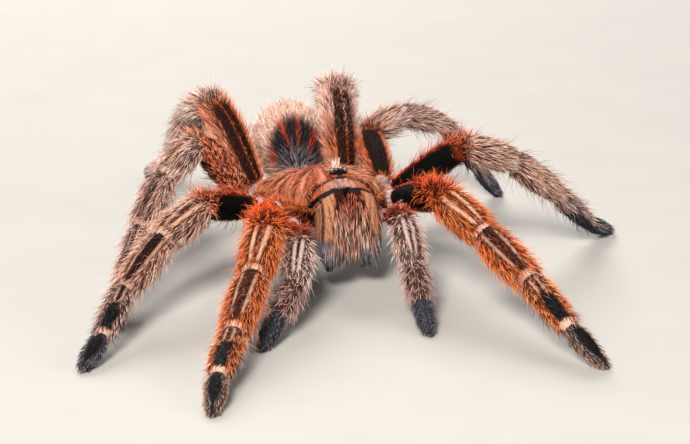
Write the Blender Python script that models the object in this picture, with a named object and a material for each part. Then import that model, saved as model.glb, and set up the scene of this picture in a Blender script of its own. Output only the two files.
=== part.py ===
"""A Chilean rose tarantula, life size, standing on a flat floor as a still museum model.

The head looks along -Y, the spider's left is +X, up is +Z, and the floor is z = 0.
Sizes below are in millimetres and degrees, and each solid reaches to the tips of its dense coat.
"""

import math

import bmesh
import bpy
from mathutils import Vector

MM = 0.001
GAP = 0.3
UP = Vector((0, 0, 1))

# The body's frame lies between the hips. Its front is lifted a little.
HIP_HEIGHT = 11.3
BODY_PITCH = 4.0

CARAPACE_LENGTH = 21.0
CARAPACE_WIDTH = 18.5
CARAPACE_WIDEST = -1.2
HEAD_WIDTH = 12.4
CARAPACE_RISE = 4.3
CARAPACE_RIM = 0.8

CHELICERA_WIDTH = 5.5
CHELICERA_DEPTH = 4.7
CHELICERA_TOP = 4.2
CHELICERA_BOTTOM = -7.4
CHELICERA_FORWARD = 13.25
CHELICERA_LEAN = 0.9
FANG_RADIUS = 0.8

ABDOMEN_CENTRE = Vector((2.8, 24.0, 13.6))
ABDOMEN_HALF = Vector((7.3, 12.0, 6.9))
ABDOMEN_YAW = 13.0
ABDOMEN_TILT = 6.0
SPINNERET_LENGTH = 4.2
SPINNERET_RADIUS = 0.8

TUBERCLE_HALF = Vector((1.45, 0.95, 1.0))
TUBERCLE_FORWARD = 8.8

STERNUM_RADIUS = 8.4
STERNUM_DEPTH = 4.3
STERNUM_TOP = 0.4

# Limb segments, from the body outwards, and the radius of the coat at each joint and mid-way.
LEG_SEGMENTS = ("femur", "patella", "tibia", "metatarsus", "tarsus")
PALP_SEGMENTS = ("femur", "patella", "tibia", "tarsus")
LENGTHS = {
    "palp": (10.8, 8.4, 6.8, 7.0),
    "leg_1": (16.6, 10.3, 13.1, 11.7, 6.8),
    "leg_2": (15.2, 9.6, 11.3, 10.8, 6.1),
    "leg_3": (13.8, 8.5, 9.6, 12.0, 6.3),
    "leg_4": (16.6, 9.2, 13.2, 16.9, 7.7),
}
JOINT_RADII = {
    "palp": (1.5, 2.0, 2.05, 1.8, 1.3),
    "leg_1": (2.0, 2.6, 2.5, 2.15, 1.75, 1.35),
    "leg_2": (2.0, 2.5, 2.4, 2.05, 1.65, 1.3),
    "leg_3": (1.9, 2.4, 2.3, 1.95, 1.6, 1.3),
    "leg_4": (2.0, 2.5, 2.4, 2.1, 1.65, 1.3),
}
SEGMENT_BULGE = {
    "femur": 0.55,
    "patella": 0.45,
    "tibia": 0.4,
    "metatarsus": 0.25,
    "tarsus": 0.3,
}
PALP_BULGE = {"femur": 0.2, "patella": 0.5, "tibia": 0.1, "tarsus": 0.2}

# Where each limb leaves the body: sideways, forward and up from the body's frame.
HIPS = {
    "palp": (8.3, 8.9, -2.0),
    "leg_1": (10.8, 6.2, 0.3),
    "leg_2": (12.0, 1.4, 0.0),
    "leg_3": (12.2, -3.6, 0.4),
    "leg_4": (7.9, -10.5, -0.3),
}

# The stance: for each segment, its heading (0 is forward, + is the spider's left) and its pitch.
STANCE = {
    ("palp", "left"): ((-8, -4, -9, -11), (16, -44, -36, -18)),
    ("palp", "right"): ((-9, -26, -43, -38), (7, -37, -27, -24)),
    ("leg_1", "left"): ((5, 26, 10, 7, 38), (16, -24, -16, -20, -40)),
    ("leg_1", "right"): ((-19, -31, -31, -28, -23), (8, -27, -20, -15, -24)),
    ("leg_2", "left"): ((46, 93, 96, 115, 119), (37, -20, -38, -41, -24)),
    ("leg_2", "right"): ((-49, -63, -51, -33, -41), (16, -22, -27, -20, -22)),
    ("leg_3", "left"): ((172, 114, 104, 100, 98), (20, 14, -18, -52, -50)),
    ("leg_3", "right"): ((-76, -66, -51, -36, -22), (54, -34, -44, -38, -26)),
    ("leg_4", "left"): ((172, 160, 163, 167, 170), (60, -25, -33, -34, -30)),
    ("leg_4", "right"): ((-145, -172, -176, -181, -186), (58, -25, -53, -26, -17)),
}
PAD_HEIGHT = 0.85
RING_SIDES = 12

COLOURS = {
    "carapace_fur": ((0.50, 0.20, 0.12), 0.55, 0.0),
    "clasped_fur": ((0.42, 0.24, 0.19), 0.6, 0.0),
    "leg_fur": ((0.52, 0.24, 0.15), 0.7, 0.0),
    "foot_fur": ((0.07, 0.065, 0.075), 0.75, 0.0),
    "underside_fur": ((0.06, 0.045, 0.04), 0.8, 0.0),
    "abdomen_fur": ((0.48, 0.30, 0.26), 0.8, 0.0),
    "fang_horn": ((0.015, 0.010, 0.010), 0.25, 0.0),
    "eye_gloss": ((0.008, 0.007, 0.007), 0.12, 0.0),
}


def clear_scene():
    """Removes whatever the file held before."""
    for old in list(bpy.data.objects):
        bpy.data.objects.remove(old, do_unlink=True)


def make_material(name):
    """A Principled material of the palette above."""
    colour, roughness, metallic = COLOURS[name]
    material = bpy.data.materials.get(name) or bpy.data.materials.new(name)
    material.use_nodes = True
    shader = material.node_tree.nodes["Principled BSDF"]
    shader.inputs["Base Color"].default_value = (*colour, 1.0)
    shader.inputs["Roughness"].default_value = roughness
    shader.inputs["Metallic"].default_value = metallic
    return material


def loft(name, rings, material, parent=None):
    """Joins closed rings of equal count, in millimetres, into one closed body with flat ends."""
    shape = bmesh.new()
    rows = [[shape.verts.new(point * MM) for point in ring] for ring in rings]
    for low, high in zip(rows, rows[1:]):
        for i in range(len(low)):
            j = (i + 1) % len(low)
            shape.faces.new((low[i], low[j], high[j], high[i]))
    shape.faces.new(reversed(rows[0]))
    shape.faces.new(rows[-1])
    bmesh.ops.recalc_face_normals(shape, faces=shape.faces)
    mesh = bpy.data.meshes.new(name)
    shape.to_mesh(mesh)
    shape.free()
    mesh.shade_smooth()
    mesh.set_sharp_from_angle(angle=math.radians(60))
    mesh.materials.append(make_material(material))
    solid = bpy.data.objects.new(name, mesh)
    solid.parent = parent
    bpy.context.scene.collection.objects.link(solid)
    return solid


def direction(heading, pitch):
    """The unit vector of a heading, 0 forward and + to the spider's left, and a pitch above level."""
    across = math.radians(heading)
    lift = math.radians(pitch)
    return Vector(
        (
            math.sin(across) * math.cos(lift),
            -math.cos(across) * math.cos(lift),
            math.sin(lift),
        )
    )


def circle(centre, normal, radius, sides=RING_SIDES, height=1.0):
    """A ring of points round a centre, square to normal. height scales it upwards."""
    side = normal.cross(UP).normalized()
    top = side.cross(normal).normalized()
    ring = []
    for i in range(sides):
        angle = 2 * math.pi * i / sides
        across = side * (radius * math.cos(angle))
        ring.append(centre + across + top * (radius * height * math.sin(angle)))
    return ring


def hip_of(limb, side):
    """A limb's root in the world, after the body's pitch."""
    sideways, forward, up = HIPS[limb]
    tilt = math.radians(BODY_PITCH)
    x = sideways if side == "left" else -sideways
    y = -forward * math.cos(tilt) + up * math.sin(tilt)
    z = HIP_HEIGHT + forward * math.sin(tilt) + up * math.cos(tilt)
    return Vector((x, y, z))


def joints_of(limb, side, sag):
    """The limb's joints from hip to pad, its last segments lowered by sag degrees."""
    headings, pitches = STANCE[limb, side]
    points = [hip_of(limb, side)]
    lowered = len(pitches) - 2
    for i, length in enumerate(LENGTHS[limb]):
        pitch = pitches[i] - (sag if i >= lowered else 0)
        points.append(points[-1] + direction(headings[i], pitch) * length)
    return points


def settled_joints(limb, side):
    """The joints with the pad's centre at its height above the floor."""
    low, high = -40.0, 40.0
    for _ in range(40):
        middle = (low + high) / 2
        if joints_of(limb, side, middle)[-1].z > PAD_HEIGHT:
            low = middle
        else:
            high = middle
    return joints_of(limb, side, low)


class Bend:
    """The rounded corner of a limb's axis at one joint."""

    def __init__(self, before, joint, after, radius):
        arrive = (joint - before).normalized()
        leave = (after - joint).normalized()
        half = arrive.angle(leave) / 2
        needed = 1.25 * radius * math.sin(half) / math.cos(half) ** 2
        room = 0.42 * min((joint - before).length, (after - joint).length)
        reach = min(max(needed, 1.0), room)
        self.start = joint - arrive * reach
        self.joint = joint
        self.end = joint + leave * reach
        self.cut = (self.end - self.start).normalized()
        self.sharp = math.degrees(2 * half) > 30

    def at(self, t):
        """The point and the direction of the axis at t, from 0 to 1 through the bend."""
        u = 1 - t
        point = self.start * (u * u) + self.joint * (2 * u * t) + self.end * (t * t)
        tangent = (self.joint - self.start) * u + (self.end - self.joint) * t
        return point, tangent.normalized()

    def leaving(self):
        """Stations from the cut to the end of the bend."""
        point, _ = self.at(0.5)
        first = (point + self.cut * (GAP / 2), self.cut)
        middle = [self.at(0.72)] if self.sharp else []
        return [first, *middle, self.at(1.0)]

    def arriving(self):
        """Stations from the start of the bend to the cut."""
        point, _ = self.at(0.5)
        last = (point - self.cut * (GAP / 2), self.cut)
        middle = [self.at(0.28)] if self.sharp else []
        return [self.at(0.0), *middle, last]


def hip_stations(root, heading, radius):
    """A rounded start of a femur: (point, direction, radius) of each ring."""
    steps = ((0.0, 0.5), (0.35, 0.82), (1.2, 1.0))
    return [(root + heading * along, heading, radius * size) for along, size in steps]


def pad_stations(tip, heading, radius):
    """The rounded end of a tarsus: (point, direction, radius) of each ring."""
    steps = ((0.0, 1.0), (0.55, 0.88), (0.95, 0.55))
    return [(tip + heading * (radius * along), heading, radius * size) for along, size in steps]


def segment_rings(stations, first_radius, last_radius, bulge):
    """Rings along a segment, its radius swelling by bulge half-way."""
    lengths = [0.0]
    for (before, _), (after, _) in zip(stations, stations[1:]):
        lengths.append(lengths[-1] + (after - before).length)
    rings = []
    for (point, normal), length in zip(stations, lengths):
        share = length / lengths[-1]
        radius = first_radius + (last_radius - first_radius) * share
        radius += bulge * math.sin(math.pi * share)
        rings.append(circle(point, normal, radius))
    return rings


def make_limb(limb, side, segments):
    """One leg or palp, each segment a body of its own, on a flat pad at the floor."""
    points = settled_joints(limb, side)
    radii = JOINT_RADII[limb]
    bends = []
    for i in range(1, len(points) - 1):
        bends.append(Bend(points[i - 1], points[i], points[i + 1], radii[i]))
    last = len(segments) - 1
    for i, segment in enumerate(segments):
        heading = (points[i + 1] - points[i]).normalized()
        start = [] if i == 0 else bends[i - 1].leaving()
        finish = [] if i == last else bends[i].arriving()
        open_start = start[-1][0] if start else points[i] + heading * 2.0
        open_end = finish[0][0] if finish else points[i + 1]
        middle = [((open_start + open_end) / 2, heading)]
        if i == 0:
            start = [(points[i] + heading * 1.2, heading)]
        if i == last:
            finish = [(points[i + 1], heading)]
        stations = start + middle + finish
        bulge = (PALP_BULGE if limb == "palp" else SEGMENT_BULGE)[segment]
        rings = segment_rings(stations, radii[i], radii[i + 1], bulge)
        if i == 0:
            rounded = hip_stations(points[0], heading, radii[0])[:-1]
            rings = [circle(*station) for station in rounded] + rings
        if i == last:
            rounded = pad_stations(points[-1], heading, radii[-1])[1:]
            rings += [circle(*station) for station in rounded]
            flatten_pad(rings)
        fur = "foot_fur" if i == last else "leg_fur"
        loft(f"{limb}_{segment}_{side}", rings, fur)


def flatten_pad(rings):
    """Presses what is below the floor flat on to it."""
    for ring in rings:
        for point in ring:
            point.z = max(point.z, 0.0)


def carapace_half_width(forward):
    """Half the carapace's width: an oval behind, narrowing to the head in front."""
    half = CARAPACE_WIDTH / 2
    offset = forward - CARAPACE_WIDEST
    if offset < 0:
        share = -offset / (CARAPACE_LENGTH / 2 + CARAPACE_WIDEST + 0.25)
        return half * (1 - share**2.2) ** (1 / 2.2)
    share = offset / (CARAPACE_LENGTH / 2 - CARAPACE_WIDEST)
    return half - (half - HEAD_WIDTH / 2) * share**1.5


def carapace_height(forward):
    """The crown's height over the rim: highest at the eyes, falling to the rear."""
    back = max(0.0, (2.0 - forward) / (CARAPACE_LENGTH / 2 + 2.0))
    front = max(0.0, (forward - 3.0) / (CARAPACE_LENGTH / 2 - 3.0))
    return CARAPACE_RISE * (1 - 0.8 * back**1.7 + 0.08 * front)


def make_carapace(frame):
    """The domed shield over head and thorax."""
    stations = (-10.45, -9.9, -8.6, -6.2, -3.0, 0.5, 4.0, 7.2, 9.4, 10.3, 10.5)
    rings = []
    for forward in stations:
        width = carapace_half_width(forward)
        height = carapace_height(forward)
        edge = min(1.0, (CARAPACE_LENGTH / 2 + 0.15 - forward) / 0.4)
        ring = []
        for i in range(13):
            angle = math.pi * i / 12
            x = width * math.cos(angle) * (0.9 + 0.1 * edge)
            z = CARAPACE_RIM + 0.5 + height * math.sin(angle) ** 0.9 * (0.85 + 0.15 * edge)
            ring.append(Vector((x, -forward, z)))
        for share in (-0.9, -0.3, 0.3, 0.9):
            ring.append(Vector((share * width, -forward, CARAPACE_RIM)))
        rings.append(ring)
    loft("carapace", rings, "carapace_fur", frame)


def make_eye_tubercle(frame):
    """The low mound that carries the eyes."""
    base = CARAPACE_RIM + 0.5 + carapace_height(TUBERCLE_FORWARD) + GAP
    rings = []
    for share, size in ((0.0, 0.92), (0.3, 1.0), (0.65, 0.8), (0.9, 0.5), (1.0, 0.22)):
        ring = []
        for i in range(RING_SIDES):
            angle = 2 * math.pi * i / RING_SIDES
            x = TUBERCLE_HALF.x * size * math.cos(angle)
            y = TUBERCLE_HALF.y * size * math.sin(angle) - TUBERCLE_FORWARD
            ring.append(Vector((x, y, base + TUBERCLE_HALF.z * share)))
        rings.append(ring)
    loft("eye_tubercle", rings, "eye_gloss", frame)


def make_chelicera(side, sign, frame):
    """A jaw's stout basal segment. Its top slopes outwards, so that the two form one arch."""
    half_height = (CHELICERA_TOP - CHELICERA_BOTTOM) / 2
    middle = (CHELICERA_TOP + CHELICERA_BOTTOM) / 2
    rings = []
    for share in (-1.0, -0.93, -0.75, -0.4, 0.0, 0.4, 0.72, 0.92, 1.0):
        power = 2.2 if share > 0 else 3.0
        swell = (1 - abs(share * 0.985) ** power) ** (1 / power)
        width = CHELICERA_WIDTH / 2 * swell**0.7 * (1 + 0.05 * share)
        depth = CHELICERA_DEPTH / 2 * swell
        forward = CHELICERA_FORWARD - 0.35 * share - 0.9 * max(share, 0.0) ** 3
        lean = max(CHELICERA_WIDTH / 2 - width, 0.0) * (CHELICERA_LEAN if share > 0 else 0.0)
        ring = []
        for i in range(RING_SIDES):
            angle = 2 * math.pi * i / RING_SIDES
            x = width * round_corner(math.cos(angle)) + CHELICERA_WIDTH / 2 + GAP / 2 - lean
            y = depth * round_corner(math.sin(angle)) - forward
            ring.append(Vector((sign * x, y, middle + half_height * share)))
        rings.append(ring)
    loft(f"chelicera_{side}", rings, "clasped_fur", frame)


def round_corner(value):
    """Turns a circle's coordinate into that of a rounder square."""
    return math.copysign(abs(value) ** 0.8, value)


def make_fang(side, sign, frame):
    """A curved fang folded back under its jaw."""
    root = Vector((sign * 3.3, -13.7, CHELICERA_BOTTOM - 1.1))
    belly = Vector((sign * 3.0, -11.9, CHELICERA_BOTTOM - 2.3))
    tip = Vector((sign * 2.3, -9.2, CHELICERA_BOTTOM - 0.9))
    rings = []
    for i in range(7):
        t = i / 6
        point = root * (1 - t) ** 2 + belly * (2 * t * (1 - t)) + tip * t * t
        tangent = ((belly - root) * (1 - t) + (tip - belly) * t).normalized()
        radius = FANG_RADIUS * (1 - 0.68 * t**1.4)
        rings.append(circle(point, tangent, radius, sides=8))
    loft(f"fang_{side}", rings, "fang_horn", frame)


def sternum_reach(angle):
    """The underside's outline: a lobe towards each hip, angle 0 forward."""
    reach = STERNUM_RADIUS
    for sideways, forward, _ in HIPS.values():
        distance = math.hypot(sideways, forward) - 0.75
        turn = math.degrees(math.atan2(sideways, forward)) - abs(angle)
        reach = max(reach, distance - 0.03 * turn * turn)
    return reach


def make_underside(frame):
    """The breastplate and the coxae round it, as one star-shaped plate."""
    levels = (
        (0.4, STERNUM_TOP),
        (0.68, STERNUM_TOP),
        (0.82, STERNUM_TOP + 0.3),
        (0.97, STERNUM_TOP + 0.1),
        (1.0, -1.2),
        (0.93, -3.0),
        (0.74, -STERNUM_DEPTH + 0.2),
        (0.35, -STERNUM_DEPTH),
    )
    rings = []
    for share, height in levels:
        ring = []
        for step in range(64):
            angle = -180 + 360 * step / 64
            reach = sternum_reach(angle) * share
            turn = math.radians(angle)
            ring.append(Vector((reach * math.sin(turn), -reach * math.cos(turn), height)))
        rings.append(ring)
    loft("sternum_and_coxae", rings, "underside_fur", frame)


def make_pedicel(frame):
    """The thin waist between thorax and abdomen."""
    rings = []
    for along, rise in ((10.95, 0.0), (11.5, 0.4), (12.05, 0.8)):
        rings.append(circle(Vector((0.1, along, rise)), Vector((0, 1, 0.4)).normalized(), 1.2))
    loft("pedicel", rings, "underside_fur", frame)


def make_abdomen():
    """The egg-shaped abdomen and the two long spinnerets at its end."""
    axis = direction(180 - ABDOMEN_YAW, ABDOMEN_TILT)
    rings = []
    for step in range(13):
        angle = math.pi * (0.04 + 0.92 * step / 12)
        along = -math.cos(angle)
        size = math.sin(angle) ** 0.92 * (1 + 0.08 * along)
        centre = ABDOMEN_CENTRE + axis * (ABDOMEN_HALF.y * along)
        height = ABDOMEN_HALF.z / ABDOMEN_HALF.x
        rings.append(circle(centre, axis, ABDOMEN_HALF.x * size, 16, height))
    loft("abdomen", rings, "abdomen_fur")
    for side, sign in (("left", 1), ("right", -1)):
        make_spinneret(side, sign, axis)


def make_spinneret(side, sign, axis):
    """A short jointed finger at the abdomen's end."""
    across = Vector((axis.y, -axis.x, 0)).normalized() * sign
    root = ABDOMEN_CENTRE + axis * (ABDOMEN_HALF.y + 0.5) + across * 1.6 - UP * 1.6
    heading = (axis + across * 0.35 + UP * 0.1).normalized()
    rings = []
    for share, size in ((0.0, 0.8), (0.1, 1.0), (0.5, 0.95), (0.85, 0.75), (1.0, 0.4)):
        point = root + heading * (SPINNERET_LENGTH * share)
        rings.append(circle(point, heading, SPINNERET_RADIUS * size, sides=8))
    loft(f"spinneret_{side}", rings, "abdomen_fur")


def make_body():
    """Head, thorax, jaws and waist, on a frame between the hips."""
    frame = bpy.data.objects.new("body_frame", None)
    frame.location = (0, 0, HIP_HEIGHT * MM)
    frame.rotation_euler = (-math.radians(BODY_PITCH), 0, 0)
    bpy.context.scene.collection.objects.link(frame)
    make_carapace(frame)
    make_eye_tubercle(frame)
    make_underside(frame)
    make_pedicel(frame)
    for side, sign in (("left", 1), ("right", -1)):
        make_chelicera(side, sign, frame)
        make_fang(side, sign, frame)


def centre_on_floor():
    """Moves the spider so that the origin is under the middle of its box, on the floor."""
    bpy.context.view_layer.update()
    corners = []
    for solid in bpy.data.objects:
        if solid.type == "MESH":
            corners += [solid.matrix_world @ corner.co for corner in solid.data.vertices]
    middle = [(min(p[k] for p in corners) + max(p[k] for p in corners)) / 2 for k in (0, 1)]
    for thing in bpy.data.objects:
        if thing.parent is None:
            thing.location -= Vector((*middle, 0))


def make_tarantula():
    """The whole spider."""
    clear_scene()
    make_body()
    make_abdomen()
    for limb, side in STANCE:
        make_limb(limb, side, PALP_SEGMENTS if limb == "palp" else LEG_SEGMENTS)
    centre_on_floor()


make_tarantula()
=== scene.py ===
"""The looks of a life-size Chilean rose tarantula: skin, hair coat, eyes, fangs, claws and studio.

Lengths are in millimetres, but in metres in the studio and in what is handed to Blender. Angles in
tables and settings are in degrees. Left and right are the spider's own, its head looks along -Y,
and the body's frame (x, forward, up) lies between its hips.
"""
import math
from functools import partial

import bpy
import numpy as np
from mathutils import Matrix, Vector


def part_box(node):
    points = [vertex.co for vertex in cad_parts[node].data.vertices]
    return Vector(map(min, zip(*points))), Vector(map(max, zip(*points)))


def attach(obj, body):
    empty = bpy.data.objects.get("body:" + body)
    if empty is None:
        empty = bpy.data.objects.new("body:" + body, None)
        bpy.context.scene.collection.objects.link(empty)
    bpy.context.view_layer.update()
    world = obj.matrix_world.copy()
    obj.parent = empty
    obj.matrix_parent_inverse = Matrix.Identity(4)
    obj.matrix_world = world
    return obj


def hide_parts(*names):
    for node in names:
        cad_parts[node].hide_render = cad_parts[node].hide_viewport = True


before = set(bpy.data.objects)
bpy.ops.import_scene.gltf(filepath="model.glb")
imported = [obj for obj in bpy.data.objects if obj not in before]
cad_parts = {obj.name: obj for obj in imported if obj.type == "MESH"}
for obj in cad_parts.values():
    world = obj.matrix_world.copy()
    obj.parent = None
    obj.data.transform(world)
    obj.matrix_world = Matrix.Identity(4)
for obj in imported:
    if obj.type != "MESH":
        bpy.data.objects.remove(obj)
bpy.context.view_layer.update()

MM = 0.001
UP = np.array([0.0, 0.0, 1.0])
RANDOM = np.random.default_rng(20)

# The sizes that the solids have too.
HIP_HEIGHT = 11.3
BODY_PITCH = 4.0
CARAPACE_LENGTH = 21.0
CARAPACE_WIDTH = 18.5
CARAPACE_WIDEST = -1.2
HEAD_WIDTH = 12.4
CARAPACE_RISE = 4.3
CARAPACE_RIM = 0.8
CHELICERA_WIDTH = 5.5
CHELICERA_DEPTH = 4.7
CHELICERA_TOP = 4.2
CHELICERA_BOTTOM = -7.4
CHELICERA_FORWARD = 13.25
CHELICERA_LEAN = 0.9
FANG_RADIUS = 0.8
ABDOMEN_CENTRE = np.array([2.8, 24.0, 13.6])
ABDOMEN_HALF = np.array([7.3, 12.0, 6.9])
ABDOMEN_YAW = 13.0
ABDOMEN_TILT = 6.0
SPINNERET_LENGTH = 4.2
SPINNERET_RADIUS = 0.8
TUBERCLE_HALF = np.array([1.45, 0.95, 1.0])
TUBERCLE_FORWARD = 8.8
PEDICEL_MIDDLE = np.array([0.1, 11.5, 0.4])
LEG_SEGMENTS = ("femur", "patella", "tibia", "metatarsus", "tarsus")
PALP_SEGMENTS = ("femur", "patella", "tibia", "tarsus")
LENGTHS = {
    "palp": (10.8, 8.4, 6.8, 7.0),
    "leg_1": (16.6, 10.3, 13.1, 11.7, 6.8),
    "leg_2": (15.2, 9.6, 11.3, 10.8, 6.1),
    "leg_3": (13.8, 8.5, 9.6, 12.0, 6.3),
    "leg_4": (16.6, 9.2, 13.2, 16.9, 7.7),
}
JOINT_RADII = {
    "palp": (1.5, 2.0, 2.05, 1.8, 1.3),
    "leg_1": (2.0, 2.6, 2.5, 2.15, 1.75, 1.35),
    "leg_2": (2.0, 2.5, 2.4, 2.05, 1.65, 1.3),
    "leg_3": (1.9, 2.4, 2.3, 1.95, 1.6, 1.3),
    "leg_4": (2.0, 2.5, 2.4, 2.1, 1.65, 1.3),
}
SEGMENT_BULGE = {"femur": 0.55, "patella": 0.45, "tibia": 0.4, "metatarsus": 0.25, "tarsus": 0.3}
PALP_BULGE = {"femur": 0.2, "patella": 0.5, "tibia": 0.1, "tarsus": 0.2}
HIPS = {
    "palp": (8.3, 8.9, -2.0),
    "leg_1": (10.8, 6.2, 0.3),
    "leg_2": (12.0, 1.4, 0.0),
    "leg_3": (12.2, -3.6, 0.4),
    "leg_4": (7.9, -10.5, -0.3),
}
STANCE = {
    ("palp", "left"): ((-8, -4, -9, -11), (16, -44, -36, -18)),
    ("palp", "right"): ((-9, -26, -43, -38), (7, -37, -27, -24)),
    ("leg_1", "left"): ((5, 26, 10, 7, 38), (16, -24, -16, -20, -40)),
    ("leg_1", "right"): ((-19, -31, -31, -28, -23), (8, -27, -20, -15, -24)),
    ("leg_2", "left"): ((46, 93, 96, 115, 119), (37, -20, -38, -41, -24)),
    ("leg_2", "right"): ((-49, -63, -51, -33, -41), (16, -22, -27, -20, -22)),
    ("leg_3", "left"): ((172, 114, 104, 100, 98), (20, 14, -18, -52, -50)),
    ("leg_3", "right"): ((-76, -66, -51, -36, -22), (54, -34, -44, -38, -26)),
    ("leg_4", "left"): ((172, 160, 163, 167, 170), (60, -25, -33, -34, -30)),
    ("leg_4", "right"): ((-145, -172, -176, -181, -186), (58, -25, -53, -26, -17)),
}
PAD_HEIGHT = 0.85
# Least heights of skin and hairs above the floor.
FLOOR_GAP = 0.12
HAIR_GAP = 0.03
# How far some limbs are rolled about their own axis beyond the knee, towards their front face.
ROLL = {("leg_1", "left"): 28, ("leg_2", "right"): 18}

# The skin lies under the solids by the depth of the coat.
COAT_DEPTH = {
    "coxa": 0.35, "femur": 0.55, "patella": 0.5, "tibia": 0.5, "metatarsus": 0.45, "tarsus": 0.42,
}
BODY_DEPTH = 0.4
ABDOMEN_DEPTH = 1.1
COXA_SHARE = 0.45
COXA_LEVEL = -2.0
COXA_RADIUS = 2.1
JOINT_PINCH = 0.3
# Farther from any joint than its pinch reaches.
FAR = 9
AXIS_STEP = 0.25
SKIN_SIDES = 24
VOXEL = 0.26

# Where the head ends in front, and how far outside its tube a point still belongs to a limb.
HEAD_FRONT = CARAPACE_LENGTH / 2 - 0.3
LIMB_REACH = 0.45
# Centres and half sizes, in the body's frame, of the flesh under the carapace.
BREASTPLATE = ((0, 0.8, -2.0), (6.0, 7.6, 1.9))
NECK = ((0, 10.2, -1.6), (5.0, 2.6, 2.6))

# The furrows of the carapace: where they meet, their angles from straight ahead, and the depths of
# a furrow and of the pit where they meet.
FOVEA_FORWARD = -2.6
GROOVES = (34, 66, 98, 132)
GROOVE_DEPTH = 0.32
FOVEA_DEPTH = 0.6

LIMB, CARAPACE, LIP, TUBERCLE, JAW, UNDERSIDE, ABDOMEN, SPINNERET = range(8)


# ---------------------------------------------------------------- small helpers


def unit(vectors):
    return vectors / np.maximum(np.linalg.norm(vectors, axis=-1, keepdims=True), 1e-9)


def smooth(low, high, value):
    """0 below low, 1 above high, and a smooth step between."""
    share = np.clip((value - low) / (high - low), 0, 1)
    return share * share * (3 - 2 * share)


def fade(low, high, value):
    """1 below low, 0 above high, and a smooth step between."""
    return 1 - smooth(low, high, value)


def band(value, centre, half, soft):
    """1 within half of the centre, falling to 0 over soft."""
    return fade(half - soft / 2, half + soft / 2, np.abs(value - centre))


def rgb(red, green, blue):
    """A screen colour, 0 to 255, as linear light."""
    share = np.array([red, green, blue]) / 255
    return np.where(share <= 0.04045, share / 12.92, ((share + 0.055) / 1.055) ** 2.4)


def blend_colour(under, over, amount):
    """Colours under, covered by over as far as amount says."""
    return under + (np.asarray(over) - under) * np.asarray(amount)[..., None]


def direction(heading, pitch):
    across, lift = math.radians(heading), math.radians(pitch)
    flat = math.cos(lift)
    return np.array([math.sin(across) * flat, -math.cos(across) * flat, math.sin(lift)])


# ---------------------------------------------------------------- the frame of the body

TILT = math.radians(BODY_PITCH)
BODY_TURN = np.array(
    [[1, 0, 0], [0, math.cos(TILT), math.sin(TILT)], [0, -math.sin(TILT), math.cos(TILT)]]
)
HIP_LEVEL = np.array([0, 0, HIP_HEIGHT])
PEDICEL_BOX = np.array([list(corner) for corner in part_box("pedicel")]) / MM
# How far the solids were moved to stand centred on the origin.
SHIFT = PEDICEL_BOX.mean(0) - (BODY_TURN @ PEDICEL_MIDDLE + HIP_LEVEL)
SHIFT[2] = 0.0


def from_body(points):
    """Points given as (x, forward, up) in the body's frame, in the row frame."""
    points = np.asarray(points, float) * (1, -1, 1)
    return points @ BODY_TURN.T + HIP_LEVEL + SHIFT


def to_body(points):
    """The other way round."""
    return ((points - SHIFT - HIP_LEVEL) @ BODY_TURN) * (1, -1, 1)


# ---------------------------------------------------------------- limbs


def joints_of(limb, side, sag):
    """Joints from hip to pad, the last two segments lowered by sag."""
    outward = 1 if side == "left" else -1
    sideways, forward, up = HIPS[limb]
    headings, pitches = STANCE[limb, side]
    points = [from_body((outward * sideways, forward, up))]
    lowered = len(pitches) - 2
    for i, length in enumerate(LENGTHS[limb]):
        pitch = pitches[i] - (sag if i >= lowered else 0)
        points.append(points[-1] + direction(headings[i], pitch) * length)
    return points


def settled_joints(limb, side):
    """The joints with the pad at its height above the floor."""
    low, high = -40.0, 40.0
    for _ in range(40):
        middle = (low + high) / 2
        if joints_of(limb, side, middle)[-1][2] > PAD_HEIGHT:
            low = middle
        else:
            high = middle
    return joints_of(limb, side, low)


def fillet(before, joint, after, radius):
    """Start, corner and end of the curve that rounds a joint."""
    arrive, leave = unit(joint - before), unit(after - joint)
    half = math.acos(np.clip(arrive @ leave, -1, 1)) / 2
    needed = 1.25 * radius * math.sin(half) / math.cos(half) ** 2
    room = 0.42 * min(np.linalg.norm(joint - before), np.linalg.norm(after - joint))
    reach = min(max(needed, 1.0), room)
    return joint - arrive * reach, joint, joint + leave * reach


def along_fillet(curve, first, last):
    """Points on a fillet between two shares of it."""
    share = np.linspace(first, last, 6)[:, None]
    start, corner, end = curve
    return start * (1 - share) ** 2 + corner * (2 * share * (1 - share)) + end * share**2


def even_steps(points, step):
    """Points about a step apart along a line, and its length."""
    lengths = np.r_[0, np.cumsum(np.linalg.norm(np.diff(points, axis=0), axis=1))]
    count = max(4, int(round(lengths[-1] / step)))
    places = (np.arange(count) + 0.5) / count * lengths[-1]
    return np.stack([np.interp(places, lengths, points[:, k]) for k in range(3)], 1), lengths[-1]


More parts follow.
